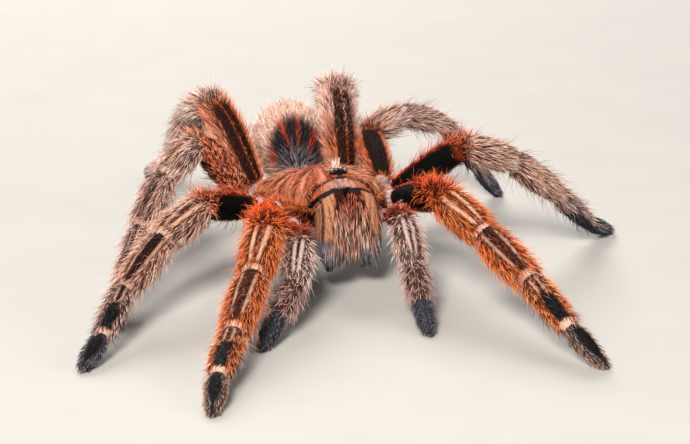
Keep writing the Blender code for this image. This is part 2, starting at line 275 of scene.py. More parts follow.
class Limb:
    """A leg or palp: stations along its axis, each with a frame, a skin radius and a segment.

    Segment -1 is the coxa, which reaches from inside the body to the hip.
    """

    def __init__(self, name, side):
        self.name = name
        self.side = side
        self.outward = 1 if side == "left" else -1
        self.segments = PALP_SEGMENTS if name == "palp" else LEG_SEGMENTS
        self.parts = ("coxa", *self.segments)
        joints = settled_joints(name, side)
        sideways, forward, _ = HIPS[name]
        inner = (self.outward * sideways * COXA_SHARE, forward * COXA_SHARE, COXA_LEVEL)
        corners = [from_body(inner), *joints]
        radii = JOINT_RADII[name]
        curves = [
            fillet(corners[i - 1], corners[i], corners[i + 1], radii[i - 1])
            for i in range(1, len(corners) - 1)
        ]
        points, segment, share, to_end, radius = [], [], [], [], []
        for i in range(len(corners) - 1):
            start = along_fillet(curves[i - 1], 0.5, 1) if i else corners[:1]
            last = i == len(curves)
            finish = corners[-1:] if last else along_fillet(curves[i], 0, 0.5)
            line, length = even_steps(np.concatenate([start, finish]), AXIS_STEP)
            place = (np.arange(len(line)) + 0.5) / len(line)
            points.append(line)
            segment.append(np.full(len(line), i - 1))
            share.append(place)
            behind = place * length if i else FAR
            ahead = FAR if last else (1 - place) * length
            to_end.append(np.minimum(behind, ahead))
            radius.append(self.skin_radius(i - 1, place))
        self.points = np.concatenate(points)
        self.segment = np.concatenate(segment)
        self.share = np.concatenate(share)
        pinch = JOINT_PINCH * np.exp(-((np.concatenate(to_end) / 0.7) ** 2))
        self.radius = np.concatenate(radius) - pinch
        self.tangent = unit(np.gradient(self.points, axis=0))
        self.across = unit(np.cross(self.tangent, UP))
        self.top = np.cross(self.across, self.tangent)

    def skin_radius(self, index, place):
        """The skin's radius at shares of one segment."""
        if index < 0:
            root = JOINT_RADII[self.name][0]
            return COXA_RADIUS + (root - COXA_RADIUS) * place - COAT_DEPTH["coxa"]
        segment = self.segments[index]
        first, last = JOINT_RADII[self.name][index : index + 2]
        bulge = (PALP_BULGE if self.name == "palp" else SEGMENT_BULGE)[segment]
        return first + (last - first) * place + bulge * np.sin(np.pi * place) - COAT_DEPTH[segment]

    def nearest(self, points):
        """For each point, the nearest station and how far it lies outside the skin there."""
        station = np.empty(len(points), int)
        for begin in range(0, len(points), 20000):
            some = points[begin : begin + 20000]
            square = (self.points**2).sum(1) - 2 * some @ self.points.T
            station[begin : begin + 20000] = square.argmin(1)
        gap = np.linalg.norm(points - self.points[station], axis=1) - self.radius[station]
        return station, gap

    def around(self, points, station):
        """The angle round the axis: 0 on top, and + towards the limb's front face."""
        offset = points - self.points[station]
        front = (offset * self.across[station]).sum(1) * self.outward
        angle = np.degrees(np.arctan2(front, (offset * self.top[station]).sum(1)))
        angle = angle - ROLL.get((self.name, self.side), 0) * (self.segment[station] > 0)
        return (angle + 180) % 360 - 180


LIMBS = [Limb(name, side) for name, side in STANCE]
ABDOMEN_AXIS = direction(180 - ABDOMEN_YAW, ABDOMEN_TILT)
ABDOMEN_ACROSS = unit(np.cross(ABDOMEN_AXIS, UP))
ABDOMEN_TOP = np.cross(ABDOMEN_ACROSS, ABDOMEN_AXIS)


# ---------------------------------------------------------------- the skin's shape


def loft(rings):
    """Vertices and faces of a closed body through rings of equal count."""
    rings = np.asarray(rings)
    levels, sides = rings.shape[:2]
    faces = [tuple(range(sides))[::-1], tuple((levels - 1) * sides + i for i in range(sides))]
    for level in range(levels - 1):
        for i in range(sides):
            j = (i + 1) % sides
            low = level * sides
            faces.append((low + i, low + j, low + sides + j, low + sides + i))
    return rings.reshape(-1, 3), faces


def rings_round(points, tangents, radii, sides=SKIN_SIDES, height=1.0):
    """Rings square to the tangents; height scales them upwards."""
    across = unit(np.cross(np.broadcast_to(tangents, points.shape), UP))
    top = np.cross(across, tangents)
    angle = np.linspace(0, 2 * np.pi, sides, endpoint=False)[None, :, None]
    spread = across[:, None] * np.cos(angle) + top[:, None] * np.sin(angle) * height
    return points[:, None] + spread * np.asarray(radii)[:, None, None]


def limb_skin(limb):
    """A tube along a limb, with a rounded pad that doesn't pass through the floor."""
    tip, heading, last = limb.points[-1], limb.tangent[-1], limb.radius[-1]
    steps = np.array([[0.4, 0.93], [0.75, 0.72], [0.95, 0.42], [1.02, 0.2]])
    points = np.concatenate([limb.points, tip + heading * (steps[:, :1] * last * 1.3)])
    tangents = np.concatenate([limb.tangent, np.tile(heading, (len(steps), 1))])
    rings = rings_round(points, tangents, np.r_[limb.radius, steps[:, 1] * last])
    rings[..., 2] = np.maximum(rings[..., 2], FLOOR_GAP)
    return loft(rings)


def carapace_half_width(forward):
    half = CARAPACE_WIDTH / 2
    offset = forward - CARAPACE_WIDEST
    if offset < 0:
        share = min(1.0, -offset / (CARAPACE_LENGTH / 2 + CARAPACE_WIDEST + 0.25))
        return half * (1 - share**2.2) ** (1 / 2.2)
    share = offset / (CARAPACE_LENGTH / 2 - CARAPACE_WIDEST)
    return half - (half - HEAD_WIDTH / 2) * share**1.5


def carapace_height(forward):
    back = np.maximum(0.0, (2.0 - forward) / (CARAPACE_LENGTH / 2 + 2.0))
    front = np.maximum(0.0, (forward - 3.0) / (CARAPACE_LENGTH / 2 - 3.0))
    return CARAPACE_RISE * (1 - 0.8 * back**1.7 + 0.08 * front)


def groove_depth(x, forward):
    """How deep the furrows of the carapace are: rays from the fovea, and the fovea itself."""
    out = np.hypot(x, forward - FOVEA_FORWARD)
    turn = np.degrees(np.arctan2(np.abs(x), forward - FOVEA_FORWARD))
    depth = np.zeros_like(out)
    for ray in GROOVES:
        off = np.radians(turn - ray) * out
        depth += np.exp(-((off / 0.5) ** 2)) * smooth(0.8, 2.2, out) * fade(6.5, 9.0, out)
    pit = np.exp(-((x / 1.1) ** 2) - ((forward - FOVEA_FORWARD) / 0.4) ** 2)
    return GROOVE_DEPTH * depth + FOVEA_DEPTH * pit


def carapace_skin():
    half = HEAD_FRONT
    stations = np.r_[-half + 0.02, np.linspace(-half + 0.25, half - 0.5, 60), half - 0.15, half]
    angle = np.linspace(0, np.pi, 49)
    rings = []
    for forward in stations:
        width = (carapace_half_width(forward * 1.01) - 0.25) * np.cos(angle)
        rise = (carapace_height(forward) - BODY_DEPTH / 2) * np.sin(angle) ** 0.9
        edge = smooth(-0.05, 0.7, half - forward) ** 0.5
        width *= 0.95 + 0.05 * edge
        rise *= 0.93 + 0.07 * edge
        level = CARAPACE_RIM + 0.4 + rise - groove_depth(width, forward)
        crown = np.stack([width, np.full_like(width, forward), level], 1)
        keel = [(share * width[0], forward, CARAPACE_RIM) for share in (-0.95, -0.3, 0.3, 0.95)]
        rings.append(np.concatenate([crown, keel]))
    return loft(from_body(np.array(rings)))


def tubercle_skin():
    base = CARAPACE_RIM + 0.3 + carapace_height(TUBERCLE_FORWARD)
    angle = np.linspace(0, 2 * np.pi, SKIN_SIDES, endpoint=False)
    rings = []
    for share, size in ((-0.6, 1.5), (0.0, 1.15), (0.3, 1.0), (0.65, 0.86), (0.85, 0.68), (0.97, 0.35)):
        x = TUBERCLE_HALF[0] * size * np.cos(angle)
        forward = TUBERCLE_HALF[1] * size * np.sin(angle) + TUBERCLE_FORWARD
        rings.append(np.stack([x, forward, np.full_like(x, base + share * TUBERCLE_HALF[2])], 1))
    return loft(from_body(np.array(rings)))


def round_corner(value):
    return np.copysign(np.abs(value) ** 0.8, value)


def chelicera_skin(sign):
    """A jaw's stout base: a swollen box with round corners."""
    half_height = (CHELICERA_TOP - CHELICERA_BOTTOM) / 2 - 0.2
    middle = (CHELICERA_TOP + CHELICERA_BOTTOM) / 2
    angle = np.linspace(0, 2 * np.pi, 40, endpoint=False)
    rings = []
    for share in np.sin(np.linspace(-0.5, 0.5, 25) * np.pi):
        power = 2.2 if share > 0 else 3.0
        swell = (1 - abs(share * 0.985) ** power) ** (1 / power)
        width = (CHELICERA_WIDTH / 2 - 0.2) * swell**0.7 * (1 + 0.05 * share)
        depth = (CHELICERA_DEPTH / 2 - BODY_DEPTH) * swell
        forward = CHELICERA_FORWARD - 0.35 * share - 0.9 * max(share, 0.0) ** 3
        lean = (CHELICERA_WIDTH / 2 - 0.2 - width) * CHELICERA_LEAN if share > 0 else 0.0
        x = width * round_corner(np.cos(angle)) + CHELICERA_WIDTH / 2 + 0.15 - max(lean, 0.0)
        ahead = depth * round_corner(np.sin(angle)) + forward
        level = np.full_like(x, middle + half_height * share)
        rings.append(np.stack([sign * x, ahead, level], 1)[:: int(sign)])
    return loft(from_body(np.array(rings)))


def ellipsoid(centre, half, levels=20):
    """A closed egg round a centre in the body's frame."""
    angle = np.linspace(0, 2 * np.pi, SKIN_SIDES, endpoint=False)
    turn = np.pi * np.linspace(0.03, 0.97, levels)[:, None]
    size = np.sin(turn)
    forward = np.broadcast_to(-half[1] * np.cos(turn), (levels, SKIN_SIDES))
    rings = np.stack([half[0] * size * np.cos(angle), forward, half[2] * size * np.sin(angle)], -1)
    return loft(from_body(rings + centre))


def abdomen_skin():
    """An egg, thickest towards its rear."""
    turn = np.pi * np.linspace(0.03, 0.97, 30)
    along = -np.cos(turn)
    half = ABDOMEN_HALF - ABDOMEN_DEPTH
    radii = half[0] * np.sin(turn) ** 0.92 * (1 + 0.08 * along)
    places = ABDOMEN_CENTRE + SHIFT + ABDOMEN_AXIS * (half[1] * along[:, None])
    return loft(rings_round(places, ABDOMEN_AXIS, radii, 32, half[2] / half[0]))


def spinneret_skin(sign):
    """One long spinneret, of three joints."""
    across = unit(np.array([ABDOMEN_AXIS[1], -ABDOMEN_AXIS[0], 0]) * sign)
    root = ABDOMEN_CENTRE + ABDOMEN_AXIS * (ABDOMEN_HALF[1] + 0.5) + across * 1.6 - UP * 1.6 + SHIFT
    heading = unit(ABDOMEN_AXIS + across * 0.35 + UP * 0.1)
    # Distance along it, as a share of its length, and radius as a share of its thickest.
    along, size = np.array(
        [[-0.9, 1.2], [0.0, 0.95], [0.3, 0.85], [0.34, 0.7], [0.4, 0.8], [0.66, 0.68], [0.7, 0.55],
         [0.75, 0.6], [0.94, 0.42], [1.0, 0.2]]).T
    points = root + heading * (along[:, None] * SPINNERET_LENGTH)
    return loft(rings_round(points, heading, size * (SPINNERET_RADIUS - 0.1), 16))


def pedicel_skin():
    line = (
        (0.0, -9.0, -0.3), (0.05, -10.6, 0.0), (0.1, -11.5, 0.4), (0.3, -12.6, 0.9), (0.6, -14.5, 1.6),
    )
    points = from_body(line)
    tangents = unit(np.gradient(points, axis=0))
    return loft(rings_round(points, tangents, [1.3, 1.1, 1.0, 1.15, 1.5], 16))


def linked(name, data):
    """A new object in the scene."""
    thing = bpy.data.objects.new(name, data)
    bpy.context.scene.collection.objects.link(thing)
    return thing


def make_object(name, points, faces):
    """A mesh object from points in millimetres."""
    mesh = bpy.data.meshes.new(name)
    mesh.from_pydata(np.asarray(points) * MM, [], faces)
    return linked(name, mesh)


def joined(shapes):
    """Several (points, faces) as one."""
    points, faces, start = [], [], 0
    for some_points, some_faces in shapes:
        points.append(some_points)
        faces += [tuple(start + i for i in face) for face in some_faces]
        start += len(some_points)
    return np.concatenate(points), faces


def relax(points, edges, rounds, amount):
    """Smooths points along their edges."""
    count = np.bincount(edges.ravel(), minlength=len(points))[:, None]
    ends = ((edges[:, 0], edges[:, 1]), (edges[:, 1], edges[:, 0]))
    for _ in range(rounds):
        total = [sum(np.bincount(to, axis[of], len(points)) for to, of in ends) for axis in points.T]
        points = points + (np.stack(total, 1) / count - points) * amount
    return points


def make_skin():
    """All flesh as one closed surface."""
    shapes = [limb_skin(limb) for limb in LIMBS]
    shapes += [carapace_skin(), tubercle_skin(), abdomen_skin(), pedicel_skin()]
    shapes += [shape(sign) for shape in (chelicera_skin, spinneret_skin) for sign in (1, -1)]
    shapes += [ellipsoid(*BREASTPLATE), ellipsoid(*NECK)]
    rough = make_object("rough_skin", *joined(shapes))
    remesh = rough.modifiers.new("voxels", "REMESH")
    remesh.mode = "VOXEL"
    remesh.voxel_size = VOXEL * MM
    graph = bpy.context.evaluated_depsgraph_get()
    mesh = bpy.data.meshes.new_from_object(rough.evaluated_get(graph))
    bpy.data.objects.remove(rough)
    mesh.name = "skin"
    points = relax(read(mesh.vertices, "co", 3), read(mesh.edges, "vertices", 2, int), 3, 0.5)
    mesh.vertices.foreach_set("co", points.ravel())
    mesh.update()
    return linked("skin", mesh)


def read(items, name, width, kind=float):
    """One property of a mesh's items as an array."""
    values = np.empty(len(items) * width, np.int32 if kind is int else np.float32)
    items.foreach_get(name, values)
    return values.reshape(-1, width).astype(kind)


# ---------------------------------------------------------------- places on the skin


class Sites:
    """Where points of the skin lie: their limb, segment, share of it and angle, or body zone."""

    def __init__(self, points, limb=None):
        self.points = points
        self.body = to_body(points)
        count = len(points)
        self.segment = np.full(count, -2)
        self.share = np.zeros(count)
        self.around = np.zeros(count)
        self.lie = np.zeros((count, 3))
        self.limb = self.find_limbs() if limb is None else limb
        for k, one in enumerate(LIMBS):
            mine = np.flatnonzero(self.limb == k)
            station, _ = one.nearest(points[mine])
            self.segment[mine] = one.segment[station]
            self.share[mine] = one.share[station]
            self.around[mine] = one.around(points[mine], station)
            self.lie[mine] = one.tangent[station]
        self.find_zones()

    def find_limbs(self):
        """The limb whose tube each point lies on, or -1."""
        limb = np.full(len(self.points), -1)
        nearest = np.full(len(self.points), LIMB_REACH)
        for k, one in enumerate(LIMBS):
            station, gap = one.nearest(self.points)
            gap = np.where(one.segment[station] < 0, gap + 0.25, gap)
            closer = gap < nearest
            limb[closer] = k
            nearest[closer] = gap[closer]
        return limb

    def find_zones(self):
        """The body zone of each point, and which way its hairs lie."""
        x, forward, up = self.body.T
        offset = self.points - ABDOMEN_CENTRE - SHIFT
        axes = (ABDOMEN_ACROSS, ABDOMEN_AXIS, ABDOMEN_TOP)
        self.egg = np.stack([offset @ axis for axis in axes], 1) / ABDOMEN_HALF
        mound = np.hypot(x / 1.5, (forward - TUBERCLE_FORWARD) / 1.05)
        places = {
            CARAPACE: (up > 0.55) & (forward < 10.6),
            LIP: (up > 0.3) & (forward > HEAD_FRONT - 0.25) & (forward < HEAD_FRONT + 0.4),
            TUBERCLE: (mound < 1) & (up > 5.6),
            JAW: (forward > HEAD_FRONT + 0.3) | ((forward > 9.6) & (up < 0.3)),
            ABDOMEN: forward < -11.2,
            SPINNERET: (forward < -12) & (self.egg[:, 1] > 0.97),
            LIMB: self.limb >= 0,
        }
        self.zone = np.full(len(self.points), UNDERSIDE)
        for zone, mine in places.items():
            self.zone[mine] = zone
        level = np.zeros_like(x)
        away = unit(np.stack([x * 1.1, forward - FOVEA_FORWARD, level], 1))
        lies = {
            CARAPACE: away,
            LIP: away * (0.3, 1, 0) - UP,
            TUBERCLE: away,
            JAW: np.stack([0.02 * x, level, level], 1) - UP,
            UNDERSIDE: np.broadcast_to((0.0, -1.0, 0.0), self.body.shape),
        }
        for zone, lie in lies.items():
            mine = self.zone == zone
            self.lie[mine] = (lie[mine] * (1, -1, 1)) @ BODY_TURN.T
        self.lie[np.isin(self.zone, (ABDOMEN, SPINNERET))] = ABDOMEN_AXIS

    def limb_sets(self, names=LENGTHS):
        """(limb, segment name or coxa, indices) of each stretch of the limbs of these names."""
        for k, one in enumerate(LIMBS):
            for i, segment in enumerate(one.parts):
                mine = np.flatnonzero((self.limb == k) & (self.segment == i - 1))
                if len(mine) and one.name in names:
                    yield one, segment, mine

    def take(self, mine):
        """The same facts for some of the points."""
        some = object.__new__(Sites)
        for name, values in vars(self).items():
            setattr(some, name, values[mine])
        return some


# ---------------------------------------------------------------- markings

# Screen colours as linear light.
CREAM = rgb(192, 146, 118)
CLAY = rgb(172, 132, 112)
BLUSH = rgb(196, 166, 156)
RING_PALE = rgb(200, 162, 142)
BLACK = rgb(9, 7, 7)
UMBER = rgb(62, 28, 20)
RUST = rgb(118, 38, 18)
COPPER = rgb(146, 66, 38)
ROSE = rgb(224, 142, 112)
AMBER = rgb(216, 100, 48)
MIST = rgb(122, 122, 130)
SLATE = rgb(60, 68, 84)
TAN = rgb(186, 126, 92)
PEACH = rgb(252, 150, 84)
PINK_WHITE = rgb(240, 200, 186)
# Screen colours of the fur on each limb, from the coxa to the tarsus.
FUR = {
    "leg_1": (
        (206, 116, 84), (216, 74, 30), (248, 114, 52),
        (246, 112, 48), (236, 128, 76), (158, 134, 122),
    ),
    "leg_2": (
        (200, 110, 82), (220, 82, 34), (238, 168, 138),
        (234, 158, 130), (180, 140, 128), (104, 104, 114),
    ),
    "leg_3": (
        (206, 116, 88), (240, 110, 52), (236, 178, 158),
        (226, 162, 144), (202, 146, 136), (96, 98, 108),
    ),
    "leg_4": (
        (212, 130, 104), (228, 112, 62), (234, 186, 172),
        (224, 174, 160), (208, 160, 152), (108, 106, 114),
    ),
    "palp": (
        (170, 90, 68), (200, 76, 40), (206, 162, 150),
        (158, 114, 104), (92, 96, 106),
    ),
}
# The black face of each femur: angle and half width, and how dark it is.
DARK_FACES = {
    "leg_1": (78, 56, 1.0), "leg_2": (92, 56, 1.0), "leg_3": (4, 48, 0.96), "leg_4": (16, 46, 0.9),
    "palp": (78, 56, 0.85),
}
# Pale bare stripes along the top of a segment: angle at the start, how far they close up,
# half width in degrees, first and last share.
STRIPES = {
    "patella": (28, 15, 8.5, 0.1, 0.9),
    "tibia": (32, 10, 6.5, 0.06, 0.84),
    "metatarsus": (19, 4, 6.0, 0.05, 0.42),
}
# How strong the stripes of each limb are, and how dark the fur between them is, on its patella and
# beyond.
STRIPE_STRENGTH = {"leg_1": 1.0, "leg_2": 0.9, "leg_3": 0.7, "leg_4": 0.6, "palp": 0.85}
BETWEEN = {
    "leg_1": (0.5, 0.9), "leg_2": (0.65, 1.0), "leg_3": (0.5, 0.7), "leg_4": (0.5, 0.5),
    "palp": (0.85, 0.4),
}
# How far the coat of some limbs is drawn to pinkish white, from patella to metatarsus.
PALER = {
    ("leg_2", "left"): 0.35, ("leg_2", "right"): 0.15, ("leg_3", "left"): 0.25,
    ("leg_3", "right"): 0.25, ("leg_4", "right"): 0.3,
}


class Paint:
    """Skin colour, fur colour and how much of the coat grows, 0 to 1, at some sites."""

    def __init__(self, count, skin, fur):
        self.skin = np.tile(skin, (count, 1))
        self.fur = np.tile(fur, (count, 1))
        self.cover = np.ones(count)

    def lay(self, amount, skin=None, fur=None, bare=0):
        """Lays colours over these as far as amount says, and thins the coat by bare of it."""
        if skin is not None:
            self.skin = blend_colour(self.skin, skin, amount)
        if fur is not None:
            self.fur = blend_colour(self.fur, fur, amount)
        self.cover = self.cover * (1 - bare * amount)


def paint_stripes(paint, limb, segment, share, flank):
    """Two pale stripes along the top, dark fur between them, dark edges and a ring at a joint."""
    palp = limb.name == "palp"
    place, closing, half, first, last = STRIPES[segment]
    place = (place - closing * share) * (0.75 if palp else 1)
    lengthwise = smooth(first, first + 0.06, share) * fade(last - 0.12, last, share)
    stripe = band(flank, place, half * (1.15 - 0.45 * share), 3.5) * lengthwise
    stripe *= STRIPE_STRENGTH[limb.name]
    middle = fade(place - half - 4, place - half + 2, flank) * fade(0.86, 0.92, share)
    middle *= BETWEEN[limb.name][segment != "patella"]
    edge = band(flank, place + half + 5, 4, 4) * lengthwise * 0.55
    paint.lay(np.maximum(middle, edge), BLACK + RUST * 0.05)
    paint.lay(middle, None, paint.fur * 0.06 + RUST * 0.12)
    paint.lay(edge, None, paint.fur * 0.25)
    pale = BLUSH if palp else CREAM if segment == "patella" else CLAY
    paint.lay(stripe, pale, pale, bare=0.88)
    paint.lay(middle, bare=0.45)
    ring = smooth(0.9, 0.93, share) * fade(70, 115, flank)
    if palp:
        ring = fade(0.05, 0.08, share) * fade(50, 85, flank)
    paint.lay(ring, RING_PALE, bare=0.7)
    paint.lay(ring * 0.85, None, RING_PALE)


def paint_femur(paint, limb, share, around):
    """The black face of a femur, and its pale socket."""
    centre, half, dark = DARK_FACES[limb.name]
    face = band(around, centre, half, 14) * smooth(0.05, 0.1, share) * fade(0.9, 0.96, share)
    if limb.name == "leg_4":
        face = face * (1 - 0.85 * band(around, centre, 5, 6))
    paint.lay(face * dark, BLACK * 0.25, BLACK * 0.25)
    if (limb.name, limb.side) == ("leg_4", "left"):
        paint.lay(0.7 * smooth(0.3, 0.8, share) * (1 - 0.8 * face), None, PINK_WHITE)
    paint.lay(fade(0.02, 0.05, share), BLUSH * 0.8, bare=0.5)


def paint_tarsus(paint, palp, share, around):
    """The slate foot, with a dark oval or on a palp a dark line, and its pad."""
    flank = np.abs(around)
    paint.lay(0.8, rgb(50, 52, 58) * 0.8)
    if palp:
        paint.lay(band(around, 0, 8, 8) * smooth(0.15, 0.3, share) * 0.9, None, BLACK * 2)
    else:
        width = 46 * np.sin(np.pi * np.clip(share * 1.1, 0.02, 0.98)) ** 0.4
        paint.lay(band(flank / width, 0, 0.8, 0.3), BLACK * 2, BLACK * 2.5)
    paint.lay(smooth(112, 130, flank), None, SLATE * 0.5)


def paint_segment(limb, segment, share, around):
    """The markings of part of a limb."""
    palp = limb.name == "palp"
    flank = np.abs(around)
    colour = rgb(*FUR[limb.name][limb.parts.index(segment)])
    paint = Paint(len(share), colour * 0.1 + UMBER * 0.3, colour)
    under = smooth(115, 150, flank)
    paint.lay(under, BLACK * 2, paint.fur * 0.3)
    if segment in STRIPES:
        paint.lay(PALER.get((limb.name, limb.side), 0.0), None, PINK_WHITE)
        if not (palp and segment == "tibia"):
            paint_stripes(paint, limb, segment, share, flank)
    if segment not in ("coxa", "femur") and not (palp and segment == "patella"):
        paint.lay(fade(0.015, 0.05, share) * 0.8, BLACK, paint.fur * 0.2)
    if segment == "femur":
        paint_femur(paint, limb, share, around)
    if segment == "coxa":
        end = smooth(0.78, 0.9, share)
        paint.lay(end * (1 - under), BLUSH * 0.85)
        paint.lay(smooth(0.75, 0.9, share) * 0.7, None, BLUSH * 0.8)
        paint.lay(end, bare=0.4)
    if segment == "metatarsus":
        slate = band(around, 0, 36, 14) * smooth(0.34, 0.46, share) * fade(0.88, 0.92, share)
        paint.lay(slate, BLACK * 1.5, BLACK * 2 + SLATE * 0.12)
        paint.lay(smooth(80, 110, flank) * smooth(0.1, 0.4, share), None, SLATE * 0.5)
    if segment == "tarsus":
        paint_tarsus(paint, palp, share, around)
    return paint


def paint_carapace(sites):
    """Copper with rosy rays from the fovea, dark furrows and an orange fringe."""
    x, forward, up = sites.body.T
    out = np.hypot(x, forward - FOVEA_FORWARD)
    turn = np.arctan2(x, forward - FOVEA_FORWARD)
    rays = np.sin(turn * 23 + 1.0) + np.sin(turn * 37 + out * 0.3) * 0.7 + np.sin(turn * 61 - out * 0.5) * 0.5
    rim = fade(1.3, 2.6, up)
    paint = Paint(len(x), COPPER, COPPER)
    paint.lay(smooth(-0.2, 1.6, rays) * 0.85 * smooth(1, 4, out), ROSE)
    paint.lay(smooth(0.3, 1.6, -rays) * 0.7, RUST * 0.4)
    paint.lay(np.clip(groove_depth(x, forward) / GROOVE_DEPTH, 0, 1) * 0.9, UMBER * 0.8)
    paint.lay(rim * 0.7, AMBER)
    paint.fur = paint.skin * 1.3
    paint.lay(rim * 0.8, None, AMBER)
    paint.lay(smooth(5.5, 8.0, forward) * fade(2.5, 4.5, np.abs(x)) * 0.6, None, rgb(196, 74, 40))
    paint.lay(smooth(9.7, 10.0, forward), BLACK * 3, BLACK * 4, bare=0.6)
    return paint


def paint_lip(sites):
    """Pale rose in the middle, orange-red at the sides with dark arcs, under a dark crest, with painted shade
    on its lower part behind the jaws.
    """
    x, _, up = sites.body.T
    side = smooth(1.0, 4.4, np.abs(x))
    arc = np.sqrt((x / 6.2) ** 2 + ((up - 1.2) / 4.6) ** 2)
    lines = np.maximum(band(arc, 0.74, 0.015, 0.03), band(arc, 0.83, 0.012, 0.03)) * side
    paint = Paint(len(x), rgb(242, 178, 156), BLACK)
    paint.lay(side, rgb(232, 112, 70))
    paint.lay(np.maximum(smooth(0.85, 0.89, arc), lines * 0.8), BLACK * 4, bare=0.5)
    # Painted shade: black skin and no coat on the lower lip, where it sits behind the jaws.
    paint.lay(fade(3.85, 4.1, up + 0.075 * x**2), BLACK, bare=1)
    paint.fur = paint.skin * 1.2
    return paint


def paint_tubercle(sites):
    paint = Paint(len(sites.points), BLACK, BLACK * 2)
    paint.lay(1, bare=1)
    return paint


def jaw_bare(across, up):
    """How bare a jaw's face is: a tan band down its outer half, and another round its side."""
    centre = 3.3 + 0.12 * (3.4 - up)
    half = 0.95 - 0.055 * (3.4 - up)
    inner = band(across, centre, half, 0.3) * smooth(-4.6, -2.6, up)
    outer = smooth(0.28, 0.42, across - centre - half) * smooth(-5.5, -3.5, up)
    return inner, outer


def painted_lip_shadow(across, up):
    """Painted shadow that the lip casts along the top of the jaws, an arch under the lip."""
    return smooth(-0.24, -0.12, up - CHELICERA_TOP + 0.06 * across**2)


def paint_jaw(sites):
    """Reddish fur with bare tan bands, grey lower corners and a painted shadow of the lip along the top."""
    x, forward, up = sites.body.T
    across = np.abs(x)
    inner, outer = jaw_bare(across, up)
    streaks = 0.8 + 0.28 * np.sin(across * 17 + 0.9 * up)
    corner = fade(-5.6, -2.6, up) * smooth(0.5, 1.7, across)
    paint = Paint(len(x), UMBER * 0.4, rgb(240, 166, 142))
    paint.lay(inner, TAN * streaks[:, None])
    paint.lay(outer, TAN * 0.6 * streaks[:, None])
    paint.lay(smooth(0.0, 3.4, up) * 0.85, None, rgb(196, 84, 50))
    paint.lay(corner, rgb(112, 114, 126), rgb(134, 134, 146))
    paint.lay(np.maximum(inner, outer), bare=0.97)
    paint.lay(fade(11.8, 13.0, forward), bare=0.7)
    # Painted shadow of the lip: black skin and no coat along the top of the jaws.
    paint.lay(painted_lip_shadow(across, up), BLACK, bare=1)
    return paint


def paint_underside(sites):
    return Paint(len(sites.points), UMBER * 0.7, UMBER * 1.6)


def paint_abdomen(sites):
    """Rosy white, with a dark patch streaked with rust on top in front, and a grey-blue collar."""
    across, along, high = sites.egg.T
    reach = np.sqrt((across / 0.6) ** 2 + ((along + 0.62) / 0.42) ** 2)
    patch = fade(0.7, 1.05, reach) * smooth(-0.2, 0.1, high)
    rays = smooth(0.4, 0.9, np.sin(np.arctan2(across, along + 1.15) * 13))
    paint = Paint(len(across), rgb(186, 124, 110), rgb(240, 190, 170))
    paint.lay(patch, BLACK * 2, rgb(34, 22, 22))
    paint.lay(patch * rays * 0.9, None, rgb(176, 62, 34))
    paint.lay(fade(-0.92, -0.78, along) * 0.85, None, MIST)
    paint.lay(fade(-0.8, -0.35, high), None, rgb(150, 108, 96))
    return paint


def paint_spinneret(sites):
    return Paint(len(sites.points), rgb(110, 80, 72), rgb(170, 140, 130))


PAINTERS = {
    CARAPACE: paint_carapace, LIP: paint_lip, TUBERCLE: paint_tubercle, JAW: paint_jaw,
    UNDERSIDE: paint_underside, ABDOMEN: paint_abdomen, SPINNERET: paint_spinneret,
}


def paint(sites):
    """The markings of every site."""
    whole = Paint(len(sites.points), UMBER, UMBER * 1.5)
    parts = [
        (mine, paint_segment(limb, segment, sites.share[mine], sites.around[mine]))
        for limb, segment, mine in sites.limb_sets()
    ]
    for zone, painter in PAINTERS.items():
        mine = np.flatnonzero(sites.zone == zone)
        if len(mine):
            parts.append((mine, painter(sites.take(mine))))
    for mine, part in parts:
        whole.skin[mine], whole.fur[mine], whole.cover[mine] = part.skin, part.fur, part.cover
    return whole


# ---------------------------------------------------------------- the coat

# Width of each hair's patch on the unwrap, which is 1 wide, and how deep a hair is rooted.
BAKE_PATCH = 0.003
ROOT_DEPTH = 0.12
# Hairs are drawn together in locks: their size, how much their tone varies, and its top.
LOCK_SIZE = 0.5
LOCK_TONE = 0.7
LOCK_BRIGHTEST = 1.3


def atlas(sites):
    """Each site's place on an unwrap: a strip for each limb, and four blocks for the body."""
    place = np.zeros((len(sites.points), 2))
    for k, limb in enumerate(LIMBS):
        mine = sites.limb == k
        whole = len(limb.segments) + 1
        place[mine, 0] = 0.01 + 0.58 * (sites.segment[mine] + 1 + sites.share[mine]) / whole
        place[mine, 1] = (k + 0.5 + 0.46 * sites.around[mine] / 180) / len(LIMBS)
    x, forward, up = sites.body.T
    on_body = sites.limb < 0
    blocks = {
        CARAPACE: (0, x / 20, forward / 24),
        LIP: (1, x / 14, (up - 3) / 16 + 0.3),
        TUBERCLE: (1, x / 14, -0.35 + 0 * x),
        JAW: (1, np.arctan2(x, forward - 9) / 4, up / 16 - 0.05),
        UNDERSIDE: (2, x / 30, forward / 30),
        ABDOMEN: (3, np.arctan2(sites.egg[:, 0], sites.egg[:, 2]) / 6.6, sites.egg[:, 1] / 2.4),
        SPINNERET: (3, x / 30, 0.47 + 0 * x),
    }
    for zone, (row, u, v) in blocks.items():
        mine = on_body & (sites.zone == zone)
        place[mine, 0] = 0.8 + 0.36 * np.clip(u, -0.5, 0.5)[mine]
        place[mine, 1] = (row + 0.5 + 0.92 * np.clip(v, -0.5, 0.5)[mine]) / 4
    return place


